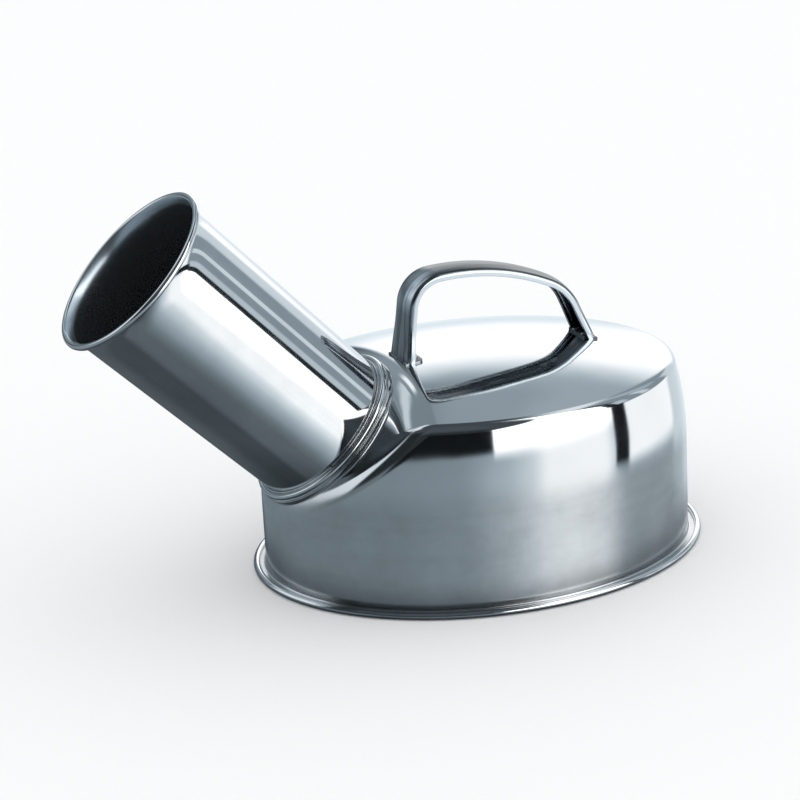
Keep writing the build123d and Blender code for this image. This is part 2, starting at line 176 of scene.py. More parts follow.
# ---------------------------------------------------------------- the body's form
class Form:
    """The oval body as one section along X: upright wall, slack arc, tight arc, crown.

    Along Y the section is scaled by half_y / half_x.
    """

    def __init__(self, half_x, half_y, edge_r, z_edge, z_top):
        rise = z_top - z_edge
        self.half_x, self.half_y = half_x, half_y
        self.crown_r = (edge_r ** 2 + rise ** 2) / (2 * rise)
        self.crown_z = z_top - self.crown_r
        self.lean = math.asin(edge_r / self.crown_r)
        self.full = math.pi / 2 - self.lean
        cos_turn, sin_turn = math.cos(SLACK_TURN), math.sin(SLACK_TURN)
        # the two arcs together span the step from the wall to the crown's edge
        self.slack_r, self.tight_r = np.linalg.solve(
            [[1 - cos_turn, cos_turn - math.cos(self.full)],
             [sin_turn, math.sin(self.full) - sin_turn]],
            [half_x - edge_r, z_edge - Z_SHOULDER])
        self.slack = (half_x - self.slack_r, Z_SHOULDER)
        step = self.slack_r - self.tight_r
        self.tight = (self.slack[0] + step * cos_turn, self.slack[1] + step * sin_turn)

    def profile(self, z_end):
        """(radius, z) from beside the crown's middle down the wall to z_end."""
        turn, full = math.degrees(SLACK_TURN), math.degrees(self.full)
        return join(
            arc((0, self.crown_z), self.crown_r, 90 - 0.02, 90 - math.degrees(self.lean), 96),
            arc(self.tight, self.tight_r, full, turn, 26),
            arc(self.slack, self.slack_r, turn, 0, 30),
            line((self.half_x, Z_SHOULDER), (self.half_x, z_end), 30))

    def distance(self, points):
        """Distance from the form, negative inside."""
        stretch = self.half_x / self.half_y
        x, y, z = points[..., 0], points[..., 1] * stretch, points[..., 2]
        r = np.sqrt(x ** 2 + y ** 2) + 1e-9
        dist = r - self.half_x
        normal_r, normal_z = np.ones_like(r), np.zeros_like(r)

        above = z > Z_SHOULDER
        slack_angle = np.arctan2(z - self.slack[1], r - self.slack[0])
        on_slack = above & (slack_angle <= SLACK_TURN)
        on_crown = above & (np.arctan2(r, z - self.crown_z) <= self.lean)
        for mask, centre, radius in (
                (on_slack, self.slack, self.slack_r),
                (above & ~on_slack & ~on_crown, self.tight, self.tight_r),
                (on_crown, (0.0, self.crown_z), self.crown_r)):
            dr, dz = r - centre[0], z - centre[1]
            length = np.sqrt(dr ** 2 + dz ** 2) + 1e-9
            dist = np.where(mask, length - radius, dist)
            normal_r = np.where(mask, dr / length, normal_r)
            normal_z = np.where(mask, dz / length, normal_z)
        slope = normal_r ** 2 * (x ** 2 + (y * stretch) ** 2) / r ** 2 + normal_z ** 2
        return dist / np.sqrt(slope)

    def clip(self, points, facet, roll):
        """Pulls points in to the facet and its rolled edge, along rays from inside."""
        origin = np.array([-6.0, 0.0, 28.0])
        near = (points @ NECK_AXIS - facet > -roll * 1.6) & (points[..., 2] > 14)
        start = points[near]
        low, high = np.full(len(start), 0.2), np.ones(len(start))

        def rounded(p):
            body, plane = self.distance(p), p @ NECK_AXIS - facet
            return (np.minimum(-roll, np.maximum(body, plane))
                    + np.sqrt(np.maximum(roll + body, 0) ** 2 + np.maximum(roll + plane, 0) ** 2))

        for _ in range(34):
            mid = (low + high) / 2
            inside = rounded(origin + (start - origin) * mid[:, None]) < 0
            low, high = np.where(inside, mid, low), np.where(inside, high, mid)
        share = np.where(rounded(start) <= 1e-6, 1.0, (low + high) / 2)
        out = points.copy()
        out[near] = origin + (start - origin) * share[:, None]
        return out


def inner_form():
    """The outer form set in by the sheet, square to the crown at its edge."""
    slope = 2 * (Z_CROWN - Z_CROWN_EDGE) / CROWN_EDGE_R
    length = math.sqrt(1 + slope * slope)
    return Form(HALF_X - SHELL_T, HALF_Y - SHELL_T, CROWN_EDGE_R - SHELL_T * slope / length,
                Z_CROWN_EDGE - SHELL_T / length, Z_CROWN - SHELL_T)


OUTER = Form(HALF_X, HALF_Y, CROWN_EDGE_R, Z_CROWN_EDGE, Z_CROWN)
INNER = inner_form()


def crown_height(x, y):
    r2 = x * x + (y * HALF_X / HALF_Y) ** 2
    return OUTER.crown_z + np.sqrt(OUTER.crown_r ** 2 - r2)


# ---------------------------------------------------------------- body shell
def flange_section():
    """(offset out from the wall, z) from the rounded root, round the edge and back under."""
    root_r, edge = 0.7, 0.15
    root = arc((root_r, FLANGE_TOP + root_r), root_r, 180, 270, 6)[1:]
    return np.vstack([root, [
        (1.6, FLANGE_TOP), (FLANGE_OUT - edge, FLANGE_TOP), (FLANGE_OUT, FLANGE_TOP - edge),
        (FLANGE_OUT, FLANGE_BOTTOM + edge), (FLANGE_OUT - edge, FLANGE_BOTTOM),
        (1.2, FLANGE_BOTTOM), (0.2, FLANGE_BOTTOM)]]), FLANGE_TOP + root_r


def hole_quads(outer):
    """True for each quad of the outer skin that falls inside the neck hole."""
    cut_r, cut_depth = 28.5, 6
    offset = outer - DATUM
    height = offset @ NECK_AXIS
    radius = np.linalg.norm(offset - height[..., None] * NECK_AXIS, axis=-1)
    inside = (radius < cut_r) & (np.abs(height) < cut_depth)
    beside = np.roll(inside, -1, axis=1)
    cut = np.zeros(inside.shape, bool)
    cut[:-1] = inside[:-1] & inside[1:] & beside[:-1] & beside[1:]
    return cut


def build_shell():
    """Outer and inner skins joined by the flange below and by the rim of the neck hole."""
    count = 512
    cos, sin = np.cos(circle_angles(count)), np.sin(circle_angles(count))
    flange, z_root = flange_section()

    def sweep(form, z_end, facet, roll):
        path = form.profile(z_end)
        x = path[:, :1] * cos
        y = path[:, :1] * (form.half_y / form.half_x) * sin
        z = np.repeat(path[:, 1:], count, 1)
        return form.clip(np.stack([x, y, z], -1), facet, roll)

    facet = float(DATUM @ NECK_AXIS) - FACET_DROP
    outer = sweep(OUTER, z_root, facet, FACET_ROLL)
    inner = sweep(INNER, FLANGE_BOTTOM, facet - SHELL_T, FACET_ROLL_INNER)
    low = np.stack([(HALF_X + flange[:, :1]) * cos, (HALF_Y + flange[:, :1]) * sin,
                    np.repeat(flange[:, 1:], count, 1)], -1)
    verts = np.concatenate([p.reshape(-1, 3) for p in (outer, low, inner)]
                           + [[(0, 0, Z_CROWN), (0, 0, Z_CROWN - SHELL_T)]])
    rows = len(outer)
    last = rows - 1 + len(flange)
    inner_start = (last + 1) * count
    outer_pole, inner_pole = len(verts) - 2, len(verts) - 1

    cut = hole_quads(outer)
    faces, rim = [], []
    for i in range(rows - 1):
        for j in range(count):
            left, right = (j - 1) % count, (j + 1) % count
            a, b = i * count + j, i * count + right
            c, d = b + count, a + count
            if not cut[i, j]:
                faces.append((a, b, c, d))
                faces.append(tuple(inner_start + v for v in (a, d, c, b)))
                continue
            # sides of a cut quad that face a standing one
            for edge, beside in (((a, b), (i - 1, j)), ((c, d), (i + 1, j)),
                                 ((d, a), (i, left)), ((b, c), (i, right))):
                if beside[0] < 0 or not cut[beside]:
                    rim.append(edge)
    faces += flipped(fan(0, outer_pole, count)) + fan(inner_start, inner_pole, count)
    for i in range(rows - 1, last):
        faces += band(i * count, (i + 1) * count, count)
    faces += band(last * count, inner_start + (rows - 1) * count, count)

    # snap the rim of the neck hole to a circle and close the sheet's edge
    rim_r = NECK_R + 0.06
    for v in {v for edge in rim for v in edge}:
        for w in (v, inner_start + v):
            offset = verts[w] - DATUM
            along = float(offset @ NECK_AXIS) * NECK_AXIS
            radial = offset - along
            verts[w] = DATUM + along + radial / np.linalg.norm(radial) * rim_r
    faces += [(p, q, inner_start + q, inner_start + p) for p, q in rim]

    # drop the points left inside the hole
    used = np.zeros(len(verts), bool)
    for face in faces:
        used[list(face)] = True
    renumber = np.cumsum(used) - 1
    faces = [tuple(int(renumber[v]) for v in face) for face in faces]
    ob = make_object("shell_skin", verts[used], faces, "body_shell")
    fix_normals(ob)
    return ob


# ---------------------------------------------------------------- base plate
BASE_FIT = -(SHELL_T + 0.03)     # outer face of the recess wall, just inside the shell


def base_section():
    """(offset out from the wall, z) round the sheet: top of the floor, curl, underside."""
    bend_top, bend_foot = 0.9, 0.5
    floor_top = RECESS + BASE_T
    inner_r = CURL_R - BASE_T
    under = BASE_FIT - BASE_T
    lip = FLANGE_TOP + 0.01          # the curl ends just above the flange
    rise = lip - CURL_R
    end_outer = 180 - math.degrees(math.asin(rise / CURL_R))
    end_inner = 180 - math.degrees(math.asin(rise / inner_r))
    curl = (CURL_OUT, CURL_R)
    lip_ends = np.array([(CURL_OUT + r * math.cos(math.radians(end)), lip)
                         for r, end in ((inner_r, end_inner), (CURL_R, end_outer))])
    return join(
        arc((BASE_FIT - bend_top, floor_top - bend_top), bend_top, 90, 0, 8),
        line((BASE_FIT, floor_top - bend_top), (BASE_FIT, BASE_T), 4),
        line((BASE_FIT, BASE_T), (CURL_OUT, BASE_T), 8),
        arc(curl, inner_r, -90, end_inner, 26),
        lip_ends,
        arc(curl, CURL_R, end_outer, -90, 44),
        line((CURL_OUT, 0), (under + bend_foot, 0), 8),
        arc((under + bend_foot, bend_foot), bend_foot, 270, 180, 5),
        line((under, bend_foot), (under, RECESS - bend_foot), 3),
        arc((under - bend_foot, RECESS - bend_foot), bend_foot, 0, 90, 5))


def build_base():
    count = 420
    cos, sin = np.cos(circle_angles(count)), np.sin(circle_angles(count))
    normal = np.stack([HALF_Y * cos, HALF_X * sin], -1)
    normal /= np.linalg.norm(normal, axis=1)[:, None]
    rows = []
    for offset, z in base_section():
        # beyond the flat of the sheet, the bends run square to the oval
        flat = min(max(offset, BASE_FIT), CURL_OUT)
        x = (HALF_X + flat) * cos + (offset - flat) * normal[:, 0]
        y = (HALF_Y + flat) * sin + (offset - flat) * normal[:, 1]
        rows.append(np.stack([x, y, np.full(count, z)], -1))
    verts = np.concatenate(rows)
    faces = grid_faces(len(rows), count, close_rings=False)

    # the floor's top and underside, as rings shrinking to the middle
    for row, z, flip in ((0, RECESS + BASE_T, False), (len(rows) - 1, RECESS, True)):
        ring = row * count
        edge = verts[ring:ring + count]
        disc = []
        for share in (0.9, 0.75, 0.6, 0.45, 0.3, 0.15):
            start = len(verts)
            flat = np.stack([edge[:, 0] * share, edge[:, 1] * share, np.full(count, z)], -1)
            verts = np.vstack([verts, flat])
            disc += band(ring, start, count)
            ring = start
        disc += fan(ring, len(verts), count)
        verts = np.vstack([verts, [(0, 0, z)]])
        faces += flipped(disc) if flip else disc
    ob = make_object("base_skin", verts, faces, "base_plate")
    fix_normals(ob)
    sharpen(ob, 40)
    return ob


# ---------------------------------------------------------------- parts turned about the neck axis
def turned(name, section, count, replaced, sharp_above, reshape=None):
    """Turns a closed section of (radius, height along the axis) about the neck axis."""
    verts = []
    for angle in circle_angles(count):
        radius, height = section[:, 0], section[:, 1]
        if reshape:
            height = reshape(angle, radius, height)
        outward = FACET_UP * math.cos(angle) + FACET_SIDE * math.sin(angle)
        verts.append(DATUM + radius[:, None] * outward + height[:, None] * NECK_AXIS)
    faces = grid_faces(count, len(section))
    ob = make_object(name, np.concatenate(verts), faces, replaced)
    fix_normals(ob)
    sharpen(ob, sharp_above)
    return ob


NECK_WALL_STEPS, NECK_FLARE_STEPS = 44, 16


def neck_section():
    """Up the inside, round the curled mouth and down the outside."""
    growth = (FLARE_R - NECK_R) / FLARE_START      # radius gained per mm of neck
    curl_start, curl_end = 25.0, 304.0
    wall_pull, curl_pull = 3.2, 2.4                # reach of the flare's control points
    start = math.radians(curl_start)

    def curl(radius, first, last, steps):
        t = np.radians(np.linspace(first, last, steps + 1))
        return np.stack([MOUTH_R - MOUTH_CURL_R - radius * np.cos(t),
                         NECK_LENGTH + radius * np.sin(t)], 1)

    def flare(wall, mouth):
        return bezier(wall, (wall[0] + growth * wall_pull, wall[1] + wall_pull),
                      (mouth[0] - curl_pull * math.sin(start),
                       mouth[1] - curl_pull * math.cos(start)), mouth, NECK_FLARE_STEPS)

    def foot(radius):
        return (radius - growth * NECK_INSIDE, -NECK_INSIDE)

    inner_r = NECK_R - NECK_T
    inner_top = (inner_r + growth * FLARE_START, FLARE_START)
    outer_top = (NECK_R + growth * FLARE_START, FLARE_START)
    # the inside of the tube runs on to the outside of the curl
    curl_out = curl(MOUTH_CURL_R, curl_start, curl_end, 40)
    curl_back = curl(MOUTH_CURL_R - NECK_T, curl_end, curl_start, 24)
    return join(
        line(foot(inner_r), inner_top, NECK_WALL_STEPS),
        flare(inner_top, curl_out[0]),
        curl_out,
        curl_back,
        flare(outer_top, curl_back[-1])[::-1],
        line(outer_top, foot(NECK_R), NECK_WALL_STEPS))


def build_ring():
    """Beaded collar round the neck's root, with a narrow notch in its upper lip."""
    bore, low = NECK_R + 0.1, -2.1
    # runs of (radius, height), from the underside out, over the bead and in to the bore
    section = join(
        line((bore, low), (RING_R, low), 3),
        line((RING_R, low), (RING_R, -0.42), 3),
        arc((RING_R - 0.16, -0.42), 0.16, 0, 80, 4),
        bezier((RING_R - 0.13, -0.26), (RING_R - 0.4, -0.22), (29.5, -0.18), (29.42, 0.05), 5),
        bezier((29.42, 0.05), (30.05, 0.35), (30.15, 1.5), (29.5, 1.95), 14),
        bezier((29.5, 1.95), (29.1, 2.25), (28.6, 2.2), (28.3, 1.95), 8),
        bezier((28.3, 1.95), (28.15, 1.8), (28.05, 1.68), (28.04, 1.78), 4),
        line((28.04, 1.78), (28.04, 2.3), 3),
        arc((27.79, 2.28), 0.25, 0, 90, 5),
        line((27.79, 2.53), (27.6, 2.5), 1),
        line((27.6, 2.5), (bore, 2.32), 2))
    count = 720
    notch_angle = math.radians(-107)
    notch_half = 0.24 / 27.85 + math.pi / count    # half its width at the lip, plus half a step
    lip_r, lip_low, notch_floor = 28.2, 1.5, 1.55

    def notch(angle, radius, height):
        off = (angle - notch_angle + math.pi) % (2 * math.pi) - math.pi
        if abs(off) >= notch_half:
            return height
        on_lip = (radius < lip_r) & (height > lip_low)
        return np.where(on_lip, np.minimum(height, notch_floor), height)

    return turned("ring_skin", section, count, "neck_ring", 45, notch)


# ---------------------------------------------------------------- handle strap
def half_width(x, z):
    """Half width of the strap, which widens down each leg."""
    foot, z_start, span = FRONT_TAPER if x < 5 else REAR_TAPER
    t = min(max((z - z_start) / span, 0.0), 1.0)
    return HANDLE_HALF + (foot - HANDLE_HALF) * (1 - t * t * (3 - 2 * t))


def strap_section(half):
    """(across, out): domed back, rolled corners, side flanges with lips turned in."""
    rise, roll, depth, lip_width, edge = 0.56, 1.6, 3.3, 1.3, 0.12
    lip = half - lip_width
    flat = half - roll
    back_r = roll + flat ** 2 / (2 * rise)
    roll_y = -back_r + math.sqrt((back_r - roll) ** 2 - flat ** 2)
    meet = math.degrees(math.atan2(roll_y + back_r, flat))
    foot, lip_top = -depth, -depth + 0.6
    inside = half - STRAP_T
    right = join(
        arc((0, -back_r), back_r, 90, meet, 12),
        arc((flat, roll_y), roll, meet, 0, 10),
        line((half, roll_y), (half, foot + edge), 4),
        arc((half - edge, foot + edge), edge, 0, -90, 3),
        line((half - edge, foot), (lip + edge, foot), 4),
        arc((lip + edge, foot + edge), edge, 270, 180, 3),
        line((lip, foot + edge), (lip, lip_top - edge), 1),
        arc((lip + edge, lip_top - edge), edge, 180, 90, 3),
        line((lip + edge, lip_top), (inside, lip_top), 3),
        line((inside, lip_top), (inside, roll_y), 2),
        arc((flat, roll_y), roll - STRAP_T, 0, meet, 8),
        arc((0, -back_r), back_r - STRAP_T, meet, 90, 12))
    left = right[::-1] * (-1, 1)
    return np.vstack([right, left[1:-1]])


def strap_marks():
    """Place round the section: 0 at the back's middle, about 1 at the corner, 2 inside."""
    half = 7.2
    section = strap_section(half)
    lengths = np.linalg.norm(np.diff(section, axis=0, append=section[:1]), axis=1)
    run, total = np.concatenate([[0], np.cumsum(lengths)[:-1]]), lengths.sum()
    return np.where(run > total / 2, run - total, run) / (half - 0.6)


def strap_path():
    """(x, z) of the back's middle: front leg, knee, bow, knee, rear leg."""
    front_foot, front_knee, bow_top, rear_knee, rear_foot = map(np.array, (
        (-28.8, 62.0), (-23.4, 101.7), (8.0, 101.9), (37.2, 90.4), (50.9, 58.0)))
    # the bow's circle runs through both knees and the top
    centre = np.linalg.solve(
        2 * np.array([bow_top - front_knee, rear_knee - front_knee]),
        np.array([p @ p - front_knee @ front_knee for p in (bow_top, rear_knee)]))
    bow_r = np.linalg.norm(front_knee - centre)

    def fillet(knee, foot, radius):
        """Centre and two ends of the arc between a leg and the bow."""
        leg = (foot - knee) / np.linalg.norm(foot - knee)
        inward = np.array([-leg[1], leg[0]])
        if inward @ (centre - knee) < 0:
            inward = -inward
        # the middle lies radius from the leg and bow_r - radius from the bow's centre
        near = knee + inward * radius
        offset = near - centre
        half_b, const = offset @ leg, offset @ offset - (bow_r - radius) ** 2
        root = math.sqrt(half_b * half_b - const)
        slide = min((s for s in (-half_b + root, -half_b - root) if s > -radius), key=abs)
        middle = near + leg * slide
        on_bow = centre + (middle - centre) / np.linalg.norm(middle - centre) * bow_r
        return middle, knee + leg * slide, on_bow

    def clockwise(middle, start, end, steps):
        a0, a1 = (math.atan2(*(p - middle)[::-1]) for p in (start, end))
        if a1 > a0:
            a1 -= 2 * math.pi
        radius = np.linalg.norm(start - middle)
        return arc(middle, radius, math.degrees(a0), math.degrees(a1), steps)

    front_c, front_leg, front_bow = fillet(front_knee, front_foot, 13.0)
    rear_c, rear_leg, rear_bow = fillet(rear_knee, rear_foot, 21.0)
    return join(
        line(front_foot, front_leg, 40),
        clockwise(front_c, front_leg, front_bow, 30),
        clockwise(centre, front_bow, rear_bow, 50),
        clockwise(rear_c, rear_bow, rear_leg, 24),
        line(rear_leg, rear_foot, 40))


def strap_rows():
    """Sections along the strap, from the front foot to the rear one."""
    path = strap_path()
    tangent = np.gradient(path, axis=0)
    tangent[:40] = path[20] - path[0]      # exact on the straight legs
    tangent[-40:] = path[-1] - path[-20]
    tangent /= np.linalg.norm(tangent, axis=1)[:, None]

    def section(point, direction):
        across, out = strap_section(half_width(*point)).T
        return np.stack([point[0] - out * direction[1], across,
                         point[1] + out * direction[0]], -1)

    def gap(points):
        return points[:, 2] - crown_height(points[:, 0], points[:, 1])

    def leg(i, down):
        """Sections stepped down a leg, the last one cut to the crown."""
        rows = []
        for step in (0.8, 1.6, 2.4, 3.0):
            row = section(path[i] + down * step, tangent[i])
            if gap(row).min() < 0.05:
                break
            rows.append(row)
        row = section(path[i] + down * 2.6, tangent[i])
        slide = np.array([down[0], 0, down[1]])
        for _ in range(30):
            row = row + slide * (gap(row) / -slide[2])[:, None]
        return rows + [row]

    clear = [i for i in range(len(path)) if path[i, 1] > 76.0]      # well above the crown
    first, last = clear[0], clear[-1]
    return (leg(first, -tangent[first])[::-1]
            + [section(path[i], tangent[i]) for i in clear]
            + leg(last, tangent[last]))


def tongue(start, web_x, tip_x, half_y, corner_r):
    """Rounded plate lying on the crown at a foot; start is its first vertex index."""
    spacing, edge = 0.8, 0.14
    signed_r = corner_r if tip_x > web_x else -corner_r
    corner_x = tip_x - signed_r
    corners = [(web_x, -half_y)]
    for corner_y, first in ((-(half_y - corner_r), -90), (half_y - corner_r, 0)):
        for a in np.radians(np.linspace(first, first + 90, 9)):
            corners.append((corner_x + signed_r * math.cos(a), corner_y + corner_r * math.sin(a)))
    corners.append((web_x, half_y))
    corners = np.array(corners)
    # divide the long straight runs so that the plate follows the crown
    outline = []
    for p, q in zip(corners, np.roll(corners, -1, 0)):
        steps = max(1, int(np.linalg.norm(q - p) / spacing))
        outline += [p + (q - p) * t for t in np.linspace(0, 1, steps, endpoint=False)]
    outline = np.array(outline)
    middle = outline.mean(0)
    spokes = outline - middle
    reach = np.linalg.norm(spokes, axis=1)[:, None]

    def on_crown(points, height):
        x, y = points.T
        return np.stack([x, y, crown_height(x, y) + height], -1)

    # how far the ring is set in, and its height over the crown
    levels = [on_crown(middle + spokes * (1 - inset / reach), height) for inset, height in (
        (0.0, 0.0), (0.0, STRAP_T - edge), (edge * 0.3, STRAP_T - edge * 0.3), (edge, STRAP_T))]
    rim = levels[-1][:, :2]
    levels += [on_crown(middle + (rim - middle) * share, STRAP_T) for share in (0.7, 0.35)]
    count, top = len(outline), len(levels) - 1
    faces = []
    for i in range(top):
        faces += band(start + i * count, start + (i + 1) * count, count)
    faces += fan(start + top * count, start + (top + 1) * count, count)
    faces.append(tuple(range(start, start + count))[::-1])
    return np.concatenate(levels + [on_crown(middle[None], STRAP_T)]), faces


def build_handle():
    rows = strap_rows()
    count = len(rows[0])
    verts = np.concatenate(rows)
    on_strap = len(verts)
    faces = grid_faces(len(rows), count, close_rings=False)
    faces.append(tuple(range(count)))
    faces.append(tuple(range(on_strap - 1, on_strap - count - 1, -1)))
    for plate in (dict(web_x=-27.35, tip_x=-20.5, half_y=8.0, corner_r=2.2),
                  dict(web_x=45.3, tip_x=40.6, half_y=7.6, corner_r=2.0)):
        plate_verts, plate_faces = tongue(len(verts), **plate)
        verts = np.vstack([verts, plate_verts])
        faces += plate_faces
    ob = make_object("handle_skin", verts, faces, "handle")

    # coordinates for the die lines: round the section, and along the strap in centimetres
    middles = np.array([row.mean(0) for row in rows])
    steps = np.linalg.norm(np.diff(middles, axis=0), axis=1)
    run = np.concatenate([[0], np.cumsum(steps)]) / 10
    plates = verts[on_strap:]
    for name, values in (
            ("across", np.concatenate([np.tile(strap_marks(), len(rows)), plates[:, 1] / 9.0])),
            ("along", np.concatenate([np.repeat(run, count), plates[:, 0] / 10]))):
        attribute = ob.data.attributes.new(name, "FLOAT", "POINT")
        attribute.data.foreach_set("value", values.astype(np.float32))
    fix_normals(ob)
    sharpen(ob, 50)
    return ob


shell = build_shell()
base = build_base()
neck_loop = neck_section()
neck = turned("neck_skin", neck_loop, 320, "neck_tube", 50)
ring = build_ring()
strap = build_handle()


# ---------------------------------------------------------------- node helpers
class Graph:
    """A node tree with short names for the nodes used here."""

    def __init__(self, tree):
        self.nodes, self.links = tree.nodes, tree.links

    def new(self, kind):
        return self.nodes.new("ShaderNode" + kind)

    def put(self, value, socket):
        if isinstance(value, (int, float)):
            socket.default_value = value
        else:
            self.links.new(value, socket)

    def math(self, operation, a, b=None):
        node = self.new("Math")
        node.operation = operation
        self.put(a, node.inputs[0])
        if b is not None:
            self.put(b, node.inputs[1])
        return node.outputs[0]

    def add(self, a, b):
        return self.math("ADD", a, b)

    def sub(self, a, b):
        return self.math("SUBTRACT", a, b)

    def mul(self, a, b):
        return self.math("MULTIPLY", a, b)

    def degrees(self, angle):
        return self.mul(angle, 180 / math.pi)

    def remap(self, value, span, to=(0.0, 1.0), smooth=True):
        node = self.new("MapRange")
        if smooth:
            node.interpolation_type = "SMOOTHSTEP"
        for name, v in zip(("Value", "From Min", "From Max", "To Min", "To Max"),
                           (value, *span, *to)):
            self.put(v, node.inputs[name])
        return node.outputs["Result"]

    def split(self, vector):
        node = self.new("SeparateXYZ")
        self.links.new(vector, node.inputs[0])
        return node.outputs

    def by_ray(self, plain, reflected, surface):
        """Reflections see one shader, all other rays the plain one."""
        mix = self.new("MixShader")
        self.put(self.new("LightPath").outputs["Is Glossy Ray"], mix.inputs[0])
        self.put(plain.outputs[0], mix.inputs[1])
        self.put(reflected.outputs[0], mix.inputs[2])
        self.put(mix.outputs[0], surface)


class Steel(Graph):
    """A material's graph; object coordinates are in metres."""

    def __init__(self, name):
        self.material = bpy.data.materials.new(name)
        self.material.use_nodes = True
        super().__init__(self.material.node_tree)
        self.coords = self.new("TexCoord").outputs["Object"]

    def swing(self, noise, by):
        """Noise centred on zero."""
        return self.mul(self.sub(noise, 0.5), by)

    def vary(self, value, noise, by):
        return self.add(value, self.swing(noise, by))

    def more(self, value, mask, by):
        return self.add(value, self.mul(mask, by))

    def less(self, value, mask, by):
        return self.sub(value, self.mul(mask, by))

    def mix(self, value, other, mask):
        return self.add(self.mul(value, self.sub(1.0, mask)), self.mul(other, mask))

    def along(self, axis, xyz):
        """Coordinate along an axis in the XZ plane."""
        return self.add(self.mul(xyz[0], float(axis[0])), self.mul(xyz[2], float(axis[2])))

    def noise(self, scale, detail=3.0, stretch=None, vector=None, rough=0.5):
        node = self.new("TexNoise")
        node.inputs["Scale"].default_value = scale
        node.inputs["Detail"].default_value = detail
        node.inputs["Roughness"].default_value = rough
        source = vector if vector is not None else self.coords
        if stretch is not None:
            mapping = self.new("Mapping")
            mapping.inputs["Scale"].default_value = stretch
            self.links.new(source, mapping.inputs["Vector"])
            source = mapping.outputs["Vector"]
        self.links.new(source, node.inputs["Vector"])
        return node.outputs["Fac"]

    def bump(self, height, strength, distance, normal=None):
        node = self.new("Bump")
        self.put(strength, node.inputs["Strength"])
        node.inputs["Distance"].default_value = distance
        self.links.new(height, node.inputs["Height"])
        if normal is not None:
            self.links.new(normal, node.inputs["Normal"])
        return node.outputs["Normal"]

    def attribute(self, name):
        node = self.new("Attribute")
        node.attribute_name = name
        return node.outputs["Fac"]

    def finish(self, level, rough, normal, tint=(0.63, 0.645, 0.655), metallic=1.0):
        """Base colour is tint times level; roughness never falls to a perfect mirror."""
        colour = self.new("VectorMath")
        colour.operation = "SCALE"
        colour.inputs[0].default_value = tint
        self.put(level, colour.inputs["Scale"])
        inputs = self.nodes["Principled BSDF"].inputs
        self.put(colour.outputs[0], inputs["Base Color"])
        self.put(self.math("MAXIMUM", rough, 0.02), inputs["Roughness"])
        self.put(normal, inputs["Normal"])
        self.put(metallic, inputs["Metallic"])
        return self.material


# ---------------------------------------------------------------- materials
def shell_material():
    """Mirror-polished above the shoulder; the wall is satin with marks running round it."""
    g = Steel("shell_polished")
    z = g.split(g.coords)[2]
    edge = g.vary(z, g.noise(scale=18, detail=2), by=0.010)
    satin = g.remap(edge, span=(0.034, 0.047), to=(1.0, 0.0))
    smudge = g.remap(g.noise(scale=34, detail=5), span=(0.42, 0.72))
    marks = g.noise(scale=420, stretch=(0.06, 0.06, 1.0))               # faint streaks
    fine = g.noise(scale=5200, detail=2, stretch=(0.05, 0.05, 1.0))     # brush lines
    cloud = g.noise(scale=15, stretch=(1.0, 1.0, 1.6))
    blotch = g.noise(scale=58, detail=5, rough=0.6)

    polished_level, satin_level = 0.95, 0.82
    level = g.less(g.vary(polished_level, cloud, by=0.10), smudge, by=0.03)
    worn = g.add(satin_level, g.add(g.swing(marks, by=0.08), g.swing(blotch, by=0.42)))
    level = g.mul(level, g.add(g.sub(1.0, satin), g.mul(satin, worn)))

    polished_rough, satin_extra = 0.055, 0.15
    rough = g.more(polished_rough, smudge, by=0.035)
    rough = g.add(rough, g.mul(satin, g.vary(satin_extra, g.noise(scale=24), by=0.16)))
    rough = g.vary(rough, fine, by=0.05)

    normal = g.bump(g.noise(scale=26, detail=2), strength=0.20, distance=0.001)
    normal = g.bump(marks, strength=g.mul(satin, 0.15), distance=0.00003, normal=normal)
    fine_strength = g.more(0.05, satin, by=0.22)
    normal = g.bump(fine, strength=fine_strength, distance=0.00001, normal=normal)
    return g.finish(level, rough, normal)


def neck_material():
    """Outside polished, drawn lengthwise."""
    g = Steel("neck_polished")
    xyz = g.split(g.coords)
    lengthwise = 0.03                             # noise is drawn out along the neck
    drawn = g.new("CombineXYZ")                   # (along the neck, Y, up the facet)
    g.put(g.mul(g.along(NECK_AXIS, xyz), lengthwise), drawn.inputs[0])
    g.put(xyz[1], drawn.inputs[1])
    g.put(g.along(FACET_UP, xyz), drawn.inputs[2])
    lines = g.noise(scale=700, vector=drawn.outputs[0])
    fine = g.noise(scale=4200, detail=2, vector=drawn.outputs[0])
    smudge = g.remap(g.noise(scale=44, detail=5), span=(0.44, 0.74))

    base_level, base_rough = 0.98, 0.05
    level = g.less(g.vary(base_level, lines, by=0.10), smudge, by=0.10)
    level = g.vary(level, g.noise(scale=120, detail=4), by=0.16)
    rough = g.add(base_rough, g.more(g.mul(smudge, 0.06), g.sub(fine, 0.5), by=0.05))
    normal = g.bump(g.noise(scale=20, detail=2), strength=0.12, distance=0.001)
    normal = g.bump(lines, strength=0.03, distance=0.00001, normal=normal)
    return g.finish(level, rough, normal)


def neck_inside_material():
    """Inside of the neck: dull, as drawn, with a faint bloom. Its low level and cool tint are
    painted shade, and a painted highlight band lies on the flare at the mouth.
    """
    g = Steel("neck_inside_dull_painted_light")
    smudge = g.noise(scale=60, detail=5)
    grain = g.noise(scale=1500)
    height = g.add(g.along(NECK_AXIS, g.split(g.coords)), -float(DATUM @ NECK_AXIS) * MM)
    # mouth is 1 on the flare at the mouth, where a highlight band is painted on by raising the
    # level
    mouth = g.remap(height, span=(0.0886, 0.0900))      # 1 on the flare at the mouth
    # the deep level and the cool tint are painted shade of the tube's inside
    deep_shade_level, deep_rough = 0.36, 0.21
    level = g.vary(g.more(deep_shade_level, mouth, by=0.50), smudge, by=0.06)
    rough = g.vary(g.more(deep_rough, mouth, by=0.05), smudge, by=0.06)
    normal = g.bump(grain, strength=0.03, distance=0.00002)
    return g.finish(level, rough, normal, tint=(0.58, 0.655, 0.715), metallic=0.92)


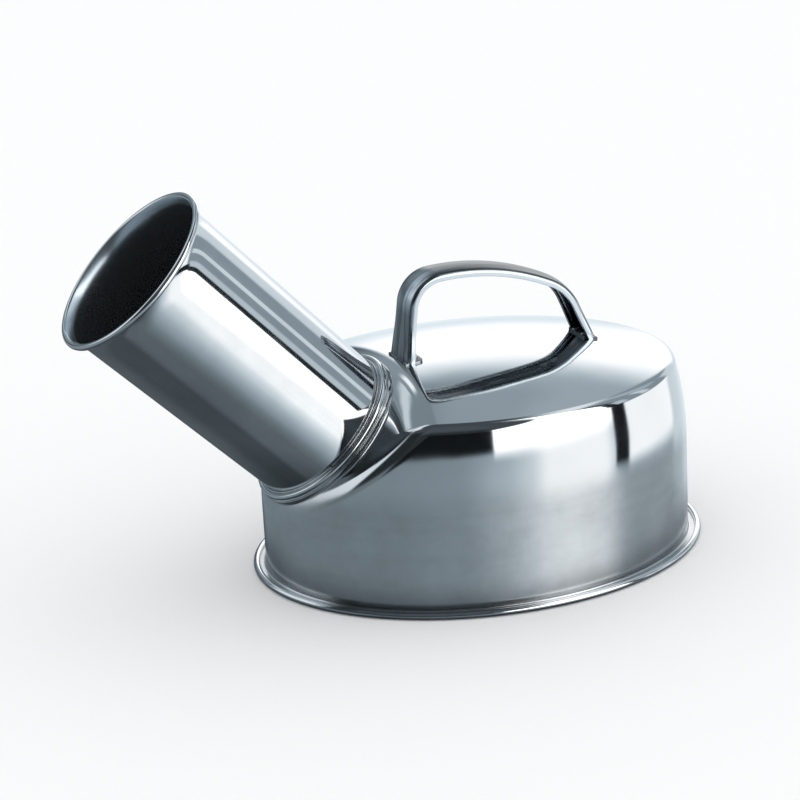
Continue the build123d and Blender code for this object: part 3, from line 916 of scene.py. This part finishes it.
def trim_material(name, rough, scale):
    """Turned or rolled edge work: mottled, with small dark spots."""
    g = Steel(name)
    mottle = g.noise(scale=scale)
    spots = g.remap(g.noise(scale=260, detail=4), span=(0.55, 0.78))
    level = g.less(g.vary(1.0, mottle, by=0.10), spots, by=0.10)
    rough = g.vary(rough, mottle, by=0.08)
    normal = g.bump(g.noise(scale=scale * 12, detail=2), strength=0.04, distance=0.00001)
    return g.finish(level, rough, normal)


def handle_material():
    """Drawn strap: lengthwise die lines on its back, brighter sides, painted highlights on the
    front leg and its bend, and painted shade on the inside.
    """
    g = Steel("handle_drawn")
    across, along = g.attribute("across"), g.attribute("along")
    lengthwise = 0.09                             # noise is drawn out along the strap
    drawn = g.new("CombineXYZ")
    g.put(across, drawn.inputs[0])
    g.put(g.mul(along, lengthwise), drawn.inputs[1])
    streak = g.noise(scale=2.6, detail=4, vector=drawn.outputs[0], rough=0.62)
    thin = g.noise(scale=9.0, vector=drawn.outputs[0], rough=0.6)
    lines = g.add(g.remap(streak, span=(0.36, 0.64), to=(0.45, 1.45)),
                  g.remap(thin, span=(0.34, 0.66), to=(-0.22, 0.28)))

    side = g.remap(g.math("ABSOLUTE", across), span=(1.02, 1.16))
    # the inside of the strap, under its back, is painted darker as shade
    under = g.remap(g.math("ABSOLUTE", across), span=(1.95, 2.05))
    # the front leg carries a painted highlight, and its bend the strongest
    front = g.remap(along, span=(2.0, 4.2), to=(1.0, 0.0))
    bend_at = 2.6
    off_bend = g.math("ABSOLUTE", g.sub(along, bend_at))
    bend = g.remap(off_bend, span=(0.3, 1.0), to=(1.0, 0.0))

    back_level, back_least, side_level, under_shade_level = 0.16, 0.03, 0.80, 0.26
    # the back's level plus the painted highlights on the front leg and the bend
    back_with_painted_highlight = g.add(back_level, g.add(g.mul(front, 0.18), g.mul(bend, 0.42)))
    back = g.math("MAXIMUM", g.mul(back_with_painted_highlight, lines), back_least)
    level = g.mix(back, g.vary(side_level, thin, by=0.2), side)
    level = g.mix(level, g.vary(under_shade_level, thin, by=0.2), under)

    back_rough, side_rough = 0.30, 0.12
    rough = g.mul(g.vary(back_rough, thin, by=0.16), g.sub(1.0, side))
    rough = g.more(rough, side, by=side_rough)
    normal = g.bump(thin, strength=0.25, distance=0.00004)
    normal = g.bump(g.noise(scale=30, detail=2), strength=0.10, distance=0.001, normal=normal)
    return g.finish(level, rough, normal, tint=(0.59, 0.65, 0.695))


def weld_material():
    """Weld beads and spots: ripples, heat tint and scale."""
    g = Steel("weld_bead")
    ripple = g.noise(scale=900)
    heat = g.noise(scale=120)
    base_level, base_rough = 0.62, 0.30
    level = g.vary(base_level, heat, by=0.5)
    rough = g.vary(base_rough, ripple, by=0.2)
    normal = g.bump(ripple, strength=0.5, distance=0.00006)
    return g.finish(level, rough, normal, tint=(0.60, 0.60, 0.59))


def wear(ob, *materials):
    ob.data.materials.clear()
    for material in materials:
        ob.data.materials.append(material)


wear(shell, shell_material())
wear(neck, neck_material(), neck_inside_material())
wear(ring, trim_material("ring_turned", rough=0.13, scale=120))
wear(strap, handle_material())
wear(base, trim_material("base_rolled", rough=0.10, scale=140))
weld = weld_material()
for weld_name in ("base_seam_weld", "neck_root_weld", "neck_seam_weld", "handle_foot_welds"):
    weld_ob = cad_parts[weld_name]
    weld_ob.data.shade_smooth()
    wear(weld_ob, weld)

# the dull inside material, with its painted shade and painted mouth highlight, runs up the inside
# of the neck and three steps on to the curl
dull_steps = NECK_WALL_STEPS + NECK_FLARE_STEPS + 3
for polygon in neck.data.polygons:
    polygon.material_index = 1 if polygon.index % len(neck_loop) < dull_steps else 0


# ---------------------------------------------------------------- studio
# The polished steel shows its surroundings, so the studio is described once, as brightness by
# direction, and both the backdrop and the floor give that back to reflections. Seen directly,
# the floor is plain and pale and the light on it is soft and even.
# Azimuth is 0 towards -Y and grows towards +X. Each patch covers those before it; None is open.
STUDIO_DARK = 0.10
STUDIO = (
    # az from, to, el from, to, level, softness az, el, (rise of the upper edge with az)
    (None, None, None, 0, 0.36, 5, 6),
    (None, None, None, -34, 0.10, 5, 26),
    (-54, 10, -78, -54, 0.175, 26, 12),
    (-36, 125, -46, 0, 0.42, 50, 34),
    (-4, 62, -34, 0, 0.74, 28, 26),
    (13, 57, -30, 2, 1.12, 20, 18),
    (20, 56, -22, 4, 1.48, 10, 12),
    (126, None, 18, 62, 0.42, 18, 14),
    (None, -150, 14, 62, 0.40, 16, 14),
    (120, 153, 33, 60, 0.58, 10, 8),
    (147, 162, 38, 56, 0.49, 6, 6),
    (160, None, 37, 56, 0.35, 6, 5),
    (None, -166, 38, 56, 0.35, 4, 4),
    (None, -165, 24, 32.5, 0.38, 4, 3),
    (None, -164, 33, 37.4, 0.95, 4, 2.4),
    (172, 176.5, 32, 38, 1.40, 2, 3),
    (163, None, None, -8, 0.11, 8, 10),
    (None, -150, None, -24, 0.13, 30, 12),
    (-178, -118, 50, 61, 1.20, 12, 6),
    (-150, -98, -2, 13, 0.36, 8, 6),
    (-112, -48, -3, 10, 0.26, 12, 8),
    (-142, -94, 9, 34, 1.12, 10, 8),
    (-156, -112, 30, 50, 1.05, 6, 5),
    (-94, -50, 10, 46, 0.035, 8, 11),
    (-60, 0, -1.5, 78, 0.045, 8, 3),
    (-62, 2, 30, 80, 0.12, 10, 22),
    (-52, 1, -1.0, 10, 0.012, 12, 4),
    (66, 128, 2, 46, 0.42, 3, 6),
    (81.5, 88, 6, 30, 1.0, 2, 6),
    (87, 105, 22, 46, 0.66, 8, 8),
    (38, 122, 49, 67, 1.25, 24, 14),
    (66, 116, -16, 2, 1.50, 3, 5),
    (109, 132, -20, 20, 0.95, 6, 8),
    (128, 165, -24, 28, 0.98, 9, 16),
    (128, 165, 4, 28, 1.75, 9, 18),
    (-0.5, 58.5, -1.5, 16, 2.80, 1.6, 9, 1.05),
    (62, 70, 6, 24, 0.80, 3, 4),
    (58, 66, -16, 6, 0.015, 1.6, 4),
    (56.5, 62.5, 4, 24, 0.03, 1.6, 4),
)


def studio_light(g, az, el):
    """Level and colour of the studio in the direction az, el (degrees)."""
    level = STUDIO_DARK
    for az_from, az_to, el_from, el_to, patch, soft_az, soft_el, *rise in STUDIO:
        mask = None
        for value, at, soft, upper in ((az, az_from, soft_az, False), (az, az_to, soft_az, True),
                                       (el, el_from, soft_el, False), (el, el_to, soft_el, True)):
            if at is None:
                continue
            if rise and upper and value is el:
                value = g.sub(el, g.mul(az, rise[0]))
            side = g.remap(value, span=(at - soft / 2, at + soft / 2))
            if upper:
                side = g.sub(1.0, side)
            mask = side if mask is None else g.mul(mask, side)
        level = g.add(level, g.mul(mask, g.sub(patch, level)))
    # the dim surroundings are cool, the lamps neutral
    tint = g.new("Mix")
    tint.data_type = "RGBA"
    tint.inputs[6].default_value = (0.82, 1.0, 1.13, 1)
    tint.inputs[7].default_value = (1.0, 1.0, 1.0, 1)
    g.put(g.remap(level, span=(0.36, 1.6), smooth=False), tint.inputs[0])
    return level, tint.outputs[2]


def floor_material():
    material = bpy.data.materials.new("pale_floor")
    material.use_nodes = True
    material.cycles.emission_sampling = "NONE"
    g = Graph(material.node_tree)
    plain = g.nodes["Principled BSDF"]
    plain.inputs["Base Color"].default_value = (0.90, 0.905, 0.91, 1)
    plain.inputs["Roughness"].default_value = 0.8
    plain.inputs["Specular IOR Level"].default_value = 0.1

    # Incoming points back along the ray
    geometry = g.new("NewGeometry")
    x, y, z = g.split(geometry.outputs["Incoming"])
    az = g.degrees(g.math("ARCTAN2", g.mul(x, -1.0), y))
    el = g.degrees(g.math("ARCSINE", g.mul(z, -1.0)))
    level, colour = studio_light(g, az, el)

    # the floor darkens in the vessel's own shade, an oval measured in flange sizes
    x, y, _ = g.split(geometry.outputs["Position"])
    across_x = g.math("DIVIDE", x, (HALF_X + FLANGE_OUT) * MM)
    across_y = g.math("DIVIDE", y, (HALF_Y + FLANGE_OUT) * MM)
    reach = g.math("SQRT", g.add(g.mul(across_x, across_x), g.mul(across_y, across_y)))
    shade = g.remap(reach, span=(0.98, 1.45), to=(0.42, 1.0))
    glow = g.new("Emission")
    g.put(g.mul(level, shade), glow.inputs["Strength"])
    g.put(colour, glow.inputs["Color"])
    g.by_ray(plain, glow, g.nodes["Material Output"].inputs["Surface"])
    return material


def build_backdrop():
    world = bpy.data.worlds.new("studio")
    bpy.context.scene.world = world
    world.use_nodes = True
    world.cycles.sampling_method = "NONE"
    g = Graph(world.node_tree)
    g.nodes.clear()
    x, y, z = g.split(g.new("TexCoord").outputs["Generated"])
    az = g.degrees(g.math("ARCTAN2", x, g.mul(y, -1.0)))
    el = g.degrees(g.math("ARCSINE", z))
    level, colour = studio_light(g, az, el)
    even = g.new("Background")
    even.inputs["Color"].default_value = (1, 1, 1, 1)
    even.inputs["Strength"].default_value = 1.1
    studio = g.new("Background")
    g.put(level, studio.inputs["Strength"])
    g.put(colour, studio.inputs["Color"])
    g.by_ray(even, studio, g.new("OutputWorld").inputs["Surface"])


bpy.ops.mesh.primitive_plane_add(size=8, location=(0, 0, -0.0002))
floor = bpy.context.object
floor.name = "floor"
floor.data.materials.append(floor_material())
build_backdrop()

# ---------------------------------------------------------------- camera
# it looks from -Y, a little to the front and from above; angles in radians
CAM_ELEVATION, CAM_AZIMUTH, CAM_ROLL = 0.322, -0.370, 0.052
CAM_TARGET = Vector((-27.07451, 0, 57.9444)) * MM
CAM_DISTANCE = 948.57595 * MM
CAM_SENSOR, CAM_LENS = 36, 123.75


def build_camera():
    data = bpy.data.cameras.new("camera")
    data.sensor_width = CAM_SENSOR
    data.lens = CAM_LENS
    data.clip_start, data.clip_end = 0.05, 20
    camera = bpy.data.objects.new("camera", data)
    bpy.context.scene.collection.objects.link(camera)
    level = math.cos(CAM_ELEVATION)
    back = Vector((math.sin(CAM_AZIMUTH) * level, -math.cos(CAM_AZIMUTH) * level,
                   math.sin(CAM_ELEVATION)))
    side = Vector((math.cos(CAM_AZIMUTH), math.sin(CAM_AZIMUTH), 0))
    upward = back.cross(side)
    right = side * math.cos(CAM_ROLL) - upward * math.sin(CAM_ROLL)
    up = side * math.sin(CAM_ROLL) + upward * math.cos(CAM_ROLL)
    place = CAM_TARGET + back * CAM_DISTANCE
    axes = [(right[i], up[i], back[i], place[i]) for i in range(3)]
    camera.matrix_world = Matrix(axes + [(0, 0, 0, 1)])
    bpy.context.scene.camera = camera


build_camera()
bpy.context.scene.view_settings.view_transform = "Standard"
bpy.context.scene.view_settings.look = "None"
